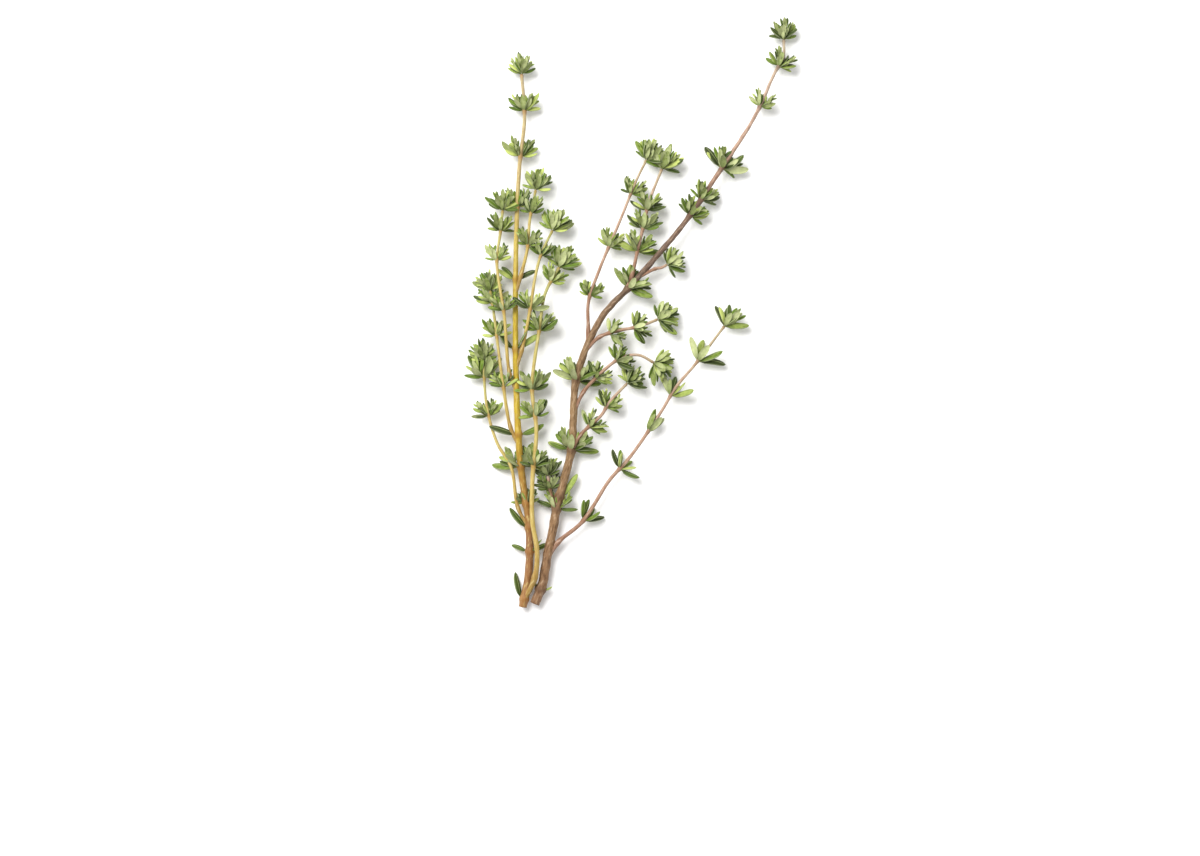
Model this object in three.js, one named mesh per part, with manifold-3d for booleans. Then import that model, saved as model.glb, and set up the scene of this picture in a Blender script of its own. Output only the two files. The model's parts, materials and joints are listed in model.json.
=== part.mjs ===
// A cut sprig of thyme, lying flat: one forked base with a green stem and a woody stem, their side
// shoots and the leaf whorls on them.
//
// Millimetres. +Y runs from the cut end to the tips, +X to the right as seen from above, and +Z up
// from the surface that the sprig lies on. The origin is under the middle of its bounding box.
//
// The stems are drawn in a plan of DRAWN_WIDTH by DRAWN_LENGTH and stretched to the sizes below.

import * as THREE from "three";
import { mergeVertices } from "three/addons/utils/BufferGeometryUtils.js";
import Module from "manifold-3d";

const wasm = await Module();
wasm.setup();

// Driving dimensions, in mm.
const SPRIG_LENGTH = 174; // from the cut end to the highest tip's stem, along Y
const SPRIG_WIDTH = 94; // between the outermost stem tips, along X
const STEM_THICKNESS = 1; // the drawn stem radii times this
const LEAF_SIZE = 1; // the drawn leaf lengths times this
const LEAF_SLENDERNESS = 0.4; // a leaf's width over its length
const LEAF_THICKNESS = 0.6;
const COLLAR_WALL = 0.45; // the swollen ring at a node, which carries the leaves
const COLLAR_LENGTH = 0.9;
const LEAF_ROOT = 0.9; // how far below the tip of a one-piece shoot its last leaves start
const GAP = 0.3; // kept between neighbouring pieces

const DRAWN_LENGTH = 174;
const DRAWN_WIDTH = 94;
const STEM_SIDES = 6;
const TO_FLAT = Math.cos(Math.PI / STEM_SIDES); // from a section's corner radius to its flats
const STEM_STEP = 7; // length of one straight stretch of a stem
// Coordinates take the first of these roundings that leaves no triangle thinner than THICK_ENOUGH,
// or else the one that leaves the thickest.
const ROUNDINGS = Array.from({ length: 24 }, (_, i) => 0.005 * 1.1 ** i);
const THICK_ENOUGH = 0.001;
const STEP_UP = 0.08; // how much a leaf that would sink into the ground is lifted at a time
const STEPS_UP = 20;
const STEM_CLEARANCE = 1.3 * GAP; // between a separate stem and the flats of its collars' bores
const ROOT_SHARE = 0.7; // how far out from the middle of a one-piece shoot's stem its leaves start
const CLEAR_WIDTH = 2; // a leaf's room is wider than the leaf by this many gaps on each side,
const CLEAR_LENGTH = 3; // longer by this many at each end
const CLEAR_THICKNESS = 1.5; // and thicker by this many on each face
const DEGREES = Math.PI / 180;

const OLIVE = 0x8a8a3a;
const BROWN = 0x7d5a3c;
const REDDISH = 0xa9806a;
const LEAF_GREEN = 0x5f8a3c;

// Each shoot has its line from the base up as [x, y, height], its radii at base and tip, and its
// whorls, bottom to top, as [share of the line, leaf length, turn, leaves, spread].
// turn is where the first leaf points round the stem: 0 right of the stem, 90 up, 180 left.
// spread is the angle between that leaf and the stem. Later leaves of a whorl are smaller and
// steeper. A separate shoot has its stem in one piece and each whorl in one of its own.
const SHOOTS = [
  {
    name: "green_stem",
    separate: true,
    radii: [1.2, 0.45],
    colour: OLIVE,
    line: [
      [-33, -88, 2.1],
      [-31.2, -78, 2.4],
      [-31, -64, 2.9],
      [-33.6, -45, 3.5],
      [-34.8, -23, 4],
      [-35, 16, 4.2],
      [-34, 43, 3.8],
      [-32.4, 59, 3.5],
      [-33.3, 72, 3.2],
    ],
    whorls: [
      [0.015, 7.6, 180, 1, 24],
      [0.105, 5.2, 8, 3, 62],
      [0.15, 8.6, 178, 1, 34],
      [0.195, 5, 195, 4, 32],
      [0.265, 8.2, 184, 7, 74],
      [0.325, 8, 172, 2, 62],
      [0.485, 7.8, 6, 3, 42],
      [0.615, 6.6, 185, 3, 62],
      [0.75, 6.4, 200, 7, 38],
      [0.845, 6.3, 170, 7, 54],
      [0.93, 6.4, 8, 6, 38],
      [1, 5.4, 30, 7, 42],
    ],
  },
  {
    name: "woody_stem",
    separate: true,
    radii: [1.4, 0.4],
    colour: BROWN,
    line: [
      [-29.4, -87, 2.4],
      [-27.2, -81.5, 2.4],
      [-25.8, -74, 2.6],
      [-24.2, -66, 2.8],
      [-22.3, -56.5, 3.1],
      [-18.4, -41, 3.4],
      [-16.7, -19, 3.9],
      [-9.5, -1.5, 4.4],
      [0.5, 9.6, 4.5],
      [15.8, 27.6, 4.5],
      [26, 42.6, 4.2],
      [36.8, 59.4, 3.8],
      [42.5, 72, 3.4],
      [45.2, 77, 3.3],
      [45.4, 82.4, 3.2],
    ],
    whorls: [
      [0.025, 3, 5, 2, 42],
      [0.155, 6, 190, 6, 66],
      [0.175, 8.4, 3, 1, 13],
      [0.25, 7.6, 8, 7, 66],
      [0.36, 7.8, 176, 7, 76],
      [0.53, 7.8, 6, 7, 66],
      [0.68, 6.4, 160, 6, 46],
      [0.71, 6.2, 150, 6, 36],
      [0.77, 7.8, 165, 7, 62],
      [0.885, 4.8, 20, 7, 60],
      [0.955, 5.6, 185, 7, 52],
      [1, 5.6, 0, 7, 34],
    ],
  },
  {
    name: "long_green_shoot",
    separate: true,
    radii: [0.75, 0.4],
    colour: OLIVE,
    line: [
      [-29.3, -79, 4.6],
      [-28.6, -71, 5.2],
      [-30, -62, 5.3],
      [-30, -50, 5.2],
      [-28.8, -35, 5.2],
      [-30.1, -22, 5.2],
      [-27.8, -4, 5],
      [-26.2, 6, 4.8],
      [-22, 14, 4.5],
    ],
    whorls: [
      [0.355, 5.6, 20, 7, 62],
      [0.51, 6, 350, 7, 34],
      [0.595, 7.4, 8, 7, 52],
      [0.785, 6.6, 5, 7, 46],
      [0.945, 5.6, 170, 6, 40],
      [1, 6.8, 350, 7, 44],
    ],
  },
  {
    name: "low_branch",
    separate: true,
    radii: [0.6, 0.38],
    colour: REDDISH,
    line: [
      [-22.4, -68.6, 2.8],
      [-15, -62.3, 3],
      [-7, -50, 3],
      [-0.8, -43, 3.1],
      [8.8, -29, 3.2],
      [13, -22, 3.2],
      [18.5, -15.5, 3.2],
      [27.6, -3.6, 3.1],
    ],
    whorls: [
      [0.125, 6.4, 165, 5, 36],
      [0.355, 6, 178, 7, 66],
      [0.525, 6.8, 200, 6, 15],
      [0.68, 7.4, 195, 6, 46],
      [0.84, 8, 3, 5, 54],
      [1, 7.6, 5, 5, 48],
    ],
  },
  {
    name: "upper_branch",
    separate: true,
    radii: [0.5, 0.38],
    colour: REDDISH,
    line: [
      [-0.2, 11.4, 4.9],
      [1.4, 18.6, 5],
      [3.2, 26, 4.8],
      [4.8, 33, 4.6],
      [8.8, 43.5, 4.2],
    ],
    whorls: [
      [0.22, 7.2, 176, 7, 74],
      [0.43, 6.2, 350, 7, 52],
      [0.6, 6.2, 5, 7, 58],
      [1, 7.4, 0, 7, 46],
    ],
  },
  {
    name: "inner_branch",
    separate: true,
    radii: [0.5, 0.36],
    colour: REDDISH,
    line: [
      [-13.3, -4.8, 4.4],
      [-13.2, 3.6, 4.8],
      [-10.3, 12.3, 4.8],
      [-3.4, 28.8, 4.6],
      [1.4, 40.6, 4.3],
      [4.2, 46.2, 4.1],
    ],
    whorls: [
      [0.185, 5.2, 355, 4, 46],
      [0.475, 5.6, 178, 7, 40],
      [0.79, 5.2, 180, 7, 42],
      [1, 6.4, 180, 7, 42],
    ],
  },
  {
    name: "outer_left_shoot",
    radii: [0.5, 0.36],
    colour: OLIVE,
    line: [
      [-34.4, -58, 3.2],
      [-36.4, -46, 3.6],
      [-40.6, -38.7, 3.6],
      [-43.6, -28.5, 3.6],
      [-44.8, -14, 3.6],
    ],
    whorls: [
      [0.635, 5.6, 175, 6, 60],
      [0.885, 8.6, 176, 5, 30],
      [1, 6, 10, 6, 36],
    ],
  },
  {
    name: "left_shoot",
    radii: [0.5, 0.36],
    colour: OLIVE,
    line: [
      [-36.6, -34, 4],
      [-38.8, -21, 4.8],
      [-40.2, -10.8, 4.8],
      [-41.6, 0.5, 4.6],
      [-42.7, 7, 4.2],
    ],
    whorls: [
      [0.295, 5, 190, 6, 52],
      [0.665, 6.2, 175, 4, 34],
      [0.905, 6.2, 175, 6, 58],
      [1, 5.6, 5, 6, 46],
    ],
  },
  {
    name: "inner_left_shoot",
    radii: [0.5, 0.36],
    colour: OLIVE,
    line: [
      [-36.8, -18, 5],
      [-38.4, -0.3, 7],
      [-40.6, 15.6, 6.6],
      [-39.6, 24, 5.8],
      [-38.9, 31, 5.2],
    ],
    whorls: [
      [0.385, 4.8, 0, 6, 56],
      [0.69, 5.6, 180, 6, 40],
      [0.87, 5.8, 160, 6, 40],
      [1, 6, 175, 6, 52],
    ],
  },
  {
    name: "right_shoot",
    radii: [0.5, 0.36],
    colour: OLIVE,
    line: [
      [-33.2, -11, 5.2],
      [-30.4, 2.7, 6],
      [-29.3, 10.2, 6],
      [-27.4, 17.7, 5.6],
      [-24, 25, 5],
    ],
    whorls: [
      [0.34, 6, 185, 6, 68],
      [0.775, 5, 175, 6, 42],
      [1, 6.8, 5, 6, 46],
    ],
  },
  {
    name: "upper_right_shoot",
    radii: [0.5, 0.36],
    colour: OLIVE,
    line: [
      [-33.4, 11.6, 5.4],
      [-31.4, 20, 5.4],
      [-30.8, 28, 5],
      [-29, 37.2, 4.6],
    ],
    whorls: [
      [0.345, 6, 10, 6, 28],
      [0.72, 6, 30, 6, 32],
      [1, 6.2, 350, 6, 32],
    ],
  },
  {
    name: "dark_tuft",
    radii: [0.5, 0.4],
    colour: OLIVE,
    line: [
      [-24.4, -54.6, 3.4],
      [-25, -51, 3.6],
      [-25.4, -48.4, 3.8],
    ],
    whorls: [
      [0.34, 5.2, 160, 6, 58],
      [1, 5.4, 10, 6, 48],
    ],
  },
  {
    name: "middle_right_shoot",
    radii: [0.5, 0.38],
    colour: REDDISH,
    line: [
      [-10, -7, 4.8],
      [-4, -5, 5],
      [1, -4, 5],
      [4.4, -2.9, 4.6],
      [7.6, -1.6, 4.2],
    ],
    whorls: [
      [0.18, 5.2, 20, 6, 58],
      [0.575, 5.6, 0, 6, 56],
      [1, 6.6, 0, 6, 50],
    ],
  },
  {
    name: "broad_right_shoot",
    radii: [0.5, 0.38],
    colour: REDDISH,
    line: [
      [-14.7, -23.4, 4.2],
      [-8, -16.4, 5],
      [-3, -13, 5],
      [2, -12.4, 4.6],
      [6.4, -14.6, 4.2],
    ],
    whorls: [
      [0.205, 5.2, 180, 6, 52],
      [0.52, 5.8, 10, 6, 58],
      [1, 6.6, 0, 6, 56],
    ],
  },
  {
    name: "lower_right_shoot",
    radii: [0.5, 0.38],
    colour: REDDISH,
    line: [
      [-15.4, -36.2, 4],
      [-9.3, -30.3, 4.4],
      [-7, -26.6, 4.6],
      [-1.6, -20.8, 4.2],
    ],
    whorls: [
      [0.16, 5.4, 0, 6, 58],
      [0.53, 5.6, 180, 6, 52],
      [1, 5.6, 20, 6, 48],
    ],
  },
  {
    name: "bud_shoot",
    radii: [0.45, 0.38],
    colour: REDDISH,
    line: [
      [7, 13.6, 4.6],
      [8.6, 13.8, 4.6],
      [10.4, 14.8, 4.4],
    ],
    whorls: [
      [1, 5.6, 0, 6, 54],
    ],
  },
];

// A repeatable number from -1 to 1 for each whole number.
function wobble(n) {
  const x = Math.sin(n * 12.9898) * 43758.5453;
  return 2 * (x - Math.floor(x)) - 1;
}

// How the leaves of a whorl differ from its first: [turn added, share of the spread, share of the length].
const LEAF_PATTERN = [
  [0, 1, 1],
  [180, 1, 0.94],
  [35, 0.5, 0.92],
  [215, 0.5, 0.88],
  [100, 0.55, 0.8],
  [300, 0.6, 0.75],
  [340, 0.38, 0.84],
];
const TURN_WOBBLE = 14;
const SPREAD_WOBBLE = 7;
const LENGTH_WOBBLE = 0.1;

const STRETCH = new THREE.Vector3(SPRIG_WIDTH / DRAWN_WIDTH, SPRIG_LENGTH / DRAWN_LENGTH, 1);

// The curve that a shoot's stem follows.
function lineOf(shoot) {
  const points = shoot.line.map((p) => new THREE.Vector3(...p).multiply(STRETCH));
  return new THREE.CatmullRomCurve3(points, false, "centripetal");
}

function radiusAt(shoot, share) {
  return STEM_THICKNESS * THREE.MathUtils.lerp(shoot.radii[0], shoot.radii[1], share);
}

// The solid of a closed geometry.
function solid(geometry) {
  const bare = geometry.clone();
  bare.deleteAttribute("normal");
  bare.deleteAttribute("uv");
  const merged = mergeVertices(bare, ROUNDINGS[0] / 2);
  return new wasm.Manifold(
    new wasm.Mesh({
      numProp: 3,
      vertProperties: new Float32Array(merged.attributes.position.array),
      triVerts: new Uint32Array(merged.index.array),
    }),
  );
}

// A stem: a straight prism of many stretches, bent along the shoot's line and tapered.
function stem(shoot, extra) {
  const curve = lineOf(shoot);
  const steps = Math.max(2, Math.round(curve.getLength() / STEM_STEP));
  const section = new THREE.Shape(
    Array.from({ length: STEM_SIDES }, (_, i) => {
      const angle = (2 * Math.PI * (i + 0.5)) / STEM_SIDES;
      return new THREE.Vector2(Math.cos(angle), Math.sin(angle));
    }),
  );
  const geometry = new THREE.ExtrudeGeometry(section, { depth: 1, steps, bevelEnabled: false });
  const frames = curve.computeFrenetFrames(steps, false);
  const position = geometry.attributes.position;
  for (let i = 0; i < position.count; i++) {
    const ring = Math.round(position.getZ(i) * steps);
    const radius = radiusAt(shoot, ring / steps) + extra;
    const point = curve
      .getPointAt(ring / steps)
      .addScaledVector(frames.normals[ring], radius * position.getX(i))
      .addScaledVector(frames.binormals[ring], radius * position.getY(i));
    if (ring === 0) point.addScaledVector(frames.tangents[0], -extra);
    if (ring === steps) point.addScaledVector(frames.tangents[steps], extra);
    position.setXYZ(i, point.x, point.y, point.z);
  }
  return solid(geometry);
}

// Where a whorl sits: its point, the stem's direction there, and the directions right of and above it.
function nodeFrame(shoot, share) {
  const curve = lineOf(shoot);
  const along = curve.getTangentAt(share);
  const right = new THREE.Vector3().crossVectors(along, new THREE.Vector3(0, 0, 1)).normalize();
  const above = new THREE.Vector3().crossVectors(right, along);
  return { point: curve.getPointAt(share), along, right, above };
}

// One leaf: its base, length, and its directions along, across and out of the upper face.
// A leaf that would sink into the ground is lifted until it lies on it.
function leaf(node, radius, turn, spread, length) {
  const outward = node.right
    .clone()
    .multiplyScalar(Math.cos(turn))
    .addScaledVector(node.above, Math.sin(turn));
  const base = node.point.clone().addScaledVector(outward, radius);
  const axis = node.along
    .clone()
    .multiplyScalar(Math.cos(spread))
    .addScaledVector(outward, Math.sin(spread));
  const facing = node.along
    .clone()
    .multiplyScalar(Math.sin(spread))
    .addScaledVector(outward, -Math.cos(spread));
  const made = { base, axis, length };
  for (let step = 0; step < STEPS_UP; step++) {
    made.across = new THREE.Vector3().crossVectors(axis, facing).normalize();
    made.facing = new THREE.Vector3().crossVectors(made.across, axis);
    if (lowest(made) >= 0) break;
    axis.z += STEP_UP;
    axis.normalize();
  }
  return made;
}

// The height of a leaf's lowest point.
function lowest(one) {
  const middle = one.base.z + (one.axis.z * one.length) / 2;
  const side = (Math.abs(one.across.z) * LEAF_SLENDERNESS * one.length) / 2;
  const face = (Math.abs(one.facing.z) * LEAF_THICKNESS) / 2;
  return Math.min(one.base.z + one.axis.z * one.length, middle - side, middle - face);
}

// A leaf's solid: a flat blade with a pointed base and tip. Extra is kept clear round it on every side.
function leafSolid(one, extra) {
  const geometry = new THREE.SphereGeometry(1, 4, 3);
  const fullness = Math.sin(Math.PI / 3); // the radius of the sphere's rings
  geometry.scale(
    ((LEAF_SLENDERNESS * one.length) / 2 + CLEAR_WIDTH * extra) / fullness,
    one.length / 2 + CLEAR_LENGTH * extra,
    (LEAF_THICKNESS / 2 + CLEAR_THICKNESS * extra) / fullness,
  );
  const middle = one.base.clone().addScaledVector(one.axis, one.length / 2);
  const place = new THREE.Matrix4().makeBasis(one.across, one.axis, one.facing);
  geometry.applyMatrix4(place.setPosition(middle));
  return solid(geometry);
}

// The corners of a stem's section, as an outline of the given radius.
function hexagon(radius) {
  return Array.from({ length: STEM_SIDES }, (_, i) => {
    const angle = (2 * Math.PI * i) / STEM_SIDES;
    return new THREE.Vector2(radius * Math.cos(angle), radius * Math.sin(angle));
  });
}

// The ring round a separate stem that a whorl's leaves grow from. Extra makes it bigger all round.
function collar(node, bore, extra) {
  const ring = new THREE.Shape(hexagon(bore + COLLAR_WALL + extra));
  ring.holes.push(new THREE.Path(hexagon(bore - extra)));
  const depth = COLLAR_LENGTH + 2 * extra;
  const geometry = new THREE.ExtrudeGeometry(ring, { depth, steps: 1, bevelEnabled: false });
  geometry.translate(0, 0, -depth / 2);
  const place = new THREE.Matrix4().makeBasis(node.above, node.right, node.along);
  geometry.applyMatrix4(place.setPosition(node.point));
  return solid(geometry);
}

let leavesMade = 0; // numbers the leaves, so that each has its own wobble

function whorlLeaves(shoot, [share, length, turn, count, spread]) {
  const node = nodeFrame(shoot, share);
  if (!shoot.separate && share === 1) node.point.addScaledVector(node.along, -LEAF_ROOT);
  const radius = shoot.separate
    ? TO_FLAT * (boreOf(shoot, share) + COLLAR_WALL / 2)
    : ROOT_SHARE * radiusAt(shoot, share);
  return LEAF_PATTERN.slice(0, count).map(([added, spreadShare, lengthShare]) => {
    leavesMade += 1;
    return leaf(
      node,
      radius,
      (turn + added + TURN_WOBBLE * wobble(leavesMade)) * DEGREES,
      (spread * spreadShare + SPREAD_WOBBLE * wobble(leavesMade + 0.3)) * DEGREES,
      LEAF_SIZE * length * lengthShare * (1 + LENGTH_WOBBLE * wobble(leavesMade + 0.6)),
    );
  });
}

// The radius of a collar's bore, to its corners.
function boreOf(shoot, share) {
  return (radiusAt(shoot, share) + STEM_CLEARANCE) / TO_FLAT;
}

function union(solids) {
  return solids.reduce((whole, one) => whole.add(one));
}

function apart(a, b) {
  const [p, q] = [a.boundingBox(), b.boundingBox()];
  return [0, 1, 2].some((i) => p.max[i] < q.min[i] || q.max[i] < p.min[i]);
}

// The solid without the rooms that it reaches into.
function clearOf(made, rooms) {
  return rooms.reduce((left, room) => (apart(left, room) ? left : left.subtract(room)), made);
}

const snap = (value, step) => step * Math.round(value / step);

// The height of a geometry's thinnest triangle, or 0 if an edge doesn't have exactly two faces once
// equal points are one.
function thinnest(geometry) {
  const { index, attributes } = mergeVertices(geometry, ROUNDINGS[0] / 2);
  const uses = new Map();
  let height = Infinity;
  for (let i = 0; i < index.count; i += 3) {
    const corners = [0, 1, 2].map((k) => index.getX(i + k));
    const triangle = new THREE.Triangle(
      ...corners.map((corner) => new THREE.Vector3().fromBufferAttribute(attributes.position, corner)),
    );
    const sides = [
      triangle.a.distanceTo(triangle.b),
      triangle.b.distanceTo(triangle.c),
      triangle.c.distanceTo(triangle.a),
    ];
    height = Math.min(height, (2 * triangle.getArea()) / Math.max(...sides));
    corners.forEach((corner, k) => {
      const edge = [corner, corners[(k + 1) % 3]].sort((a, b) => a - b).join();
      uses.set(edge, (uses.get(edge) ?? 0) + 1);
    });
  }
  return [...uses.values()].every((count) => count === 2) ? height : 0;
}

// The geometry of a cut solid's largest body, with its coordinates rounded, so that no two vertices
// nearly touch.
function largestBody(made) {
  let best = null;
  let bestHeight = 0;
  for (const step of ROUNDINGS) {
    const rounded = geometryOf(made);
    rounded.attributes.position.array.forEach((value, i, all) => (all[i] = snap(value, step)));
    const bodies = solid(rounded).decompose();
    const largest = bodies.reduce((most, body) => (body.volume() > most.volume() ? body : most));
    const geometry = geometryOf(largest);
    const height = thinnest(geometry);
    if (height >= THICK_ENOUGH) return geometry;
    if (height > bestHeight) [best, bestHeight] = [geometry, height];
  }
  if (!best) throw new Error("a piece is pinched at every rounding");
  return best;
}

function geometryOf(made) {
  const mesh = made.getMesh();
  const geometry = new THREE.BufferGeometry();
  geometry.setAttribute("position", new THREE.BufferAttribute(new Float32Array(mesh.vertProperties), 3));
  geometry.setIndex(new THREE.BufferAttribute(new Uint32Array(mesh.triVerts), 1));
  return geometry;
}

const sprig = new THREE.Group();
sprig.name = "thyme_sprig";

function addPiece(name, geometry, colour) {
  geometry.computeVertexNormals();
  const material = new THREE.MeshStandardMaterial({ color: colour, roughness: 0.7, metalness: 0 });
  const piece = new THREE.Mesh(geometry, material);
  piece.name = name;
  sprig.add(piece);
}

// Every stem keeps its room first, so no leaf cuts a stem. Each leaf group then keeps clear of the
// stems and of the groups before it, and each stem of the stems before it.
const stemRooms = SHOOTS.map((shoot) => stem(shoot, GAP));
const leafRooms = [];

function addShoot(shoot, index) {
  const bareStem = clearOf(stem(shoot, 0), stemRooms.slice(0, index));
  if (!shoot.separate) {
    const leaves = shoot.whorls.flatMap((whorl) => whorlLeaves(shoot, whorl));
    const otherStems = stemRooms.filter((_, i) => i !== index);
    const foliage = clearOf(union(leaves.map((one) => leafSolid(one, 0))), [...otherStems, ...leafRooms]);
    addPiece(shoot.name, largestBody(bareStem.add(foliage)), shoot.colour);
    leafRooms.push(union(leaves.map((one) => leafSolid(one, GAP))));
    return;
  }
  addPiece(shoot.name, largestBody(bareStem), shoot.colour);
  shoot.whorls.forEach((whorl, i) => {
    const node = nodeFrame(shoot, whorl[0]);
    const bore = boreOf(shoot, whorl[0]);
    const leaves = whorlLeaves(shoot, whorl);
    const body = union([collar(node, bore, 0), ...leaves.map((one) => leafSolid(one, 0))]);
    const made = clearOf(body, [...stemRooms, ...leafRooms]);
    addPiece(shoot.name + "_leaves_" + (i + 1), largestBody(made), LEAF_GREEN);
    leafRooms.push(union([collar(node, bore, GAP), ...leaves.map((one) => leafSolid(one, GAP))]));
  });
}

SHOOTS.forEach(addShoot);

// The sprig rests on z = 0, and its box is centred over the origin.
const box = new THREE.Box3().setFromObject(sprig, true);
const middle = box.getCenter(new THREE.Vector3());
for (const piece of sprig.children) {
  piece.geometry.translate(...[-middle.x, -middle.y, -box.min.z].map((shift) => snap(shift, ROUNDINGS[0])));
}

export default sprig;
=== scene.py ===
"""A cut sprig of thyme lying on a pale surface: smooth woody and green stems, and thin curled leaves."""

import json
import math

import bpy
import numpy as np
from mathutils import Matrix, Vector

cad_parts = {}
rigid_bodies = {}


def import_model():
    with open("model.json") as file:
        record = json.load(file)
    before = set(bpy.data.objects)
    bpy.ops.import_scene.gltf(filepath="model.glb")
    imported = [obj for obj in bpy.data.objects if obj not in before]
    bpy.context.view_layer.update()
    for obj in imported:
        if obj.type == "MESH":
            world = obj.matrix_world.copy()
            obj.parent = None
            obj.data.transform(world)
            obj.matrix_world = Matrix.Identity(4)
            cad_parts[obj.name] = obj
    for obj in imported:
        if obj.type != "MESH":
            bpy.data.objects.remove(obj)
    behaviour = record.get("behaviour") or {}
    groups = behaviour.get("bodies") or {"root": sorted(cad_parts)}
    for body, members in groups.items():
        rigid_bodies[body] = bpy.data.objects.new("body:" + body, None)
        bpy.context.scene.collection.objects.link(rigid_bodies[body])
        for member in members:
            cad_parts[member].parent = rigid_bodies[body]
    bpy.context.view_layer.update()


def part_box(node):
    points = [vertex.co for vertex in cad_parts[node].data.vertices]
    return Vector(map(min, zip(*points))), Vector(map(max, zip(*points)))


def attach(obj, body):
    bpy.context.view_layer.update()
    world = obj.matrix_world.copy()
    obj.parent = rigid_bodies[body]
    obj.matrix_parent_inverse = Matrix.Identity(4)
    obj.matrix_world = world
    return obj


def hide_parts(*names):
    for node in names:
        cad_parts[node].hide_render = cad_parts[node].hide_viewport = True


MM = 0.001
DEGREES = math.pi / 180
UP = np.array([0.0, 0.0, 1.0])

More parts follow.
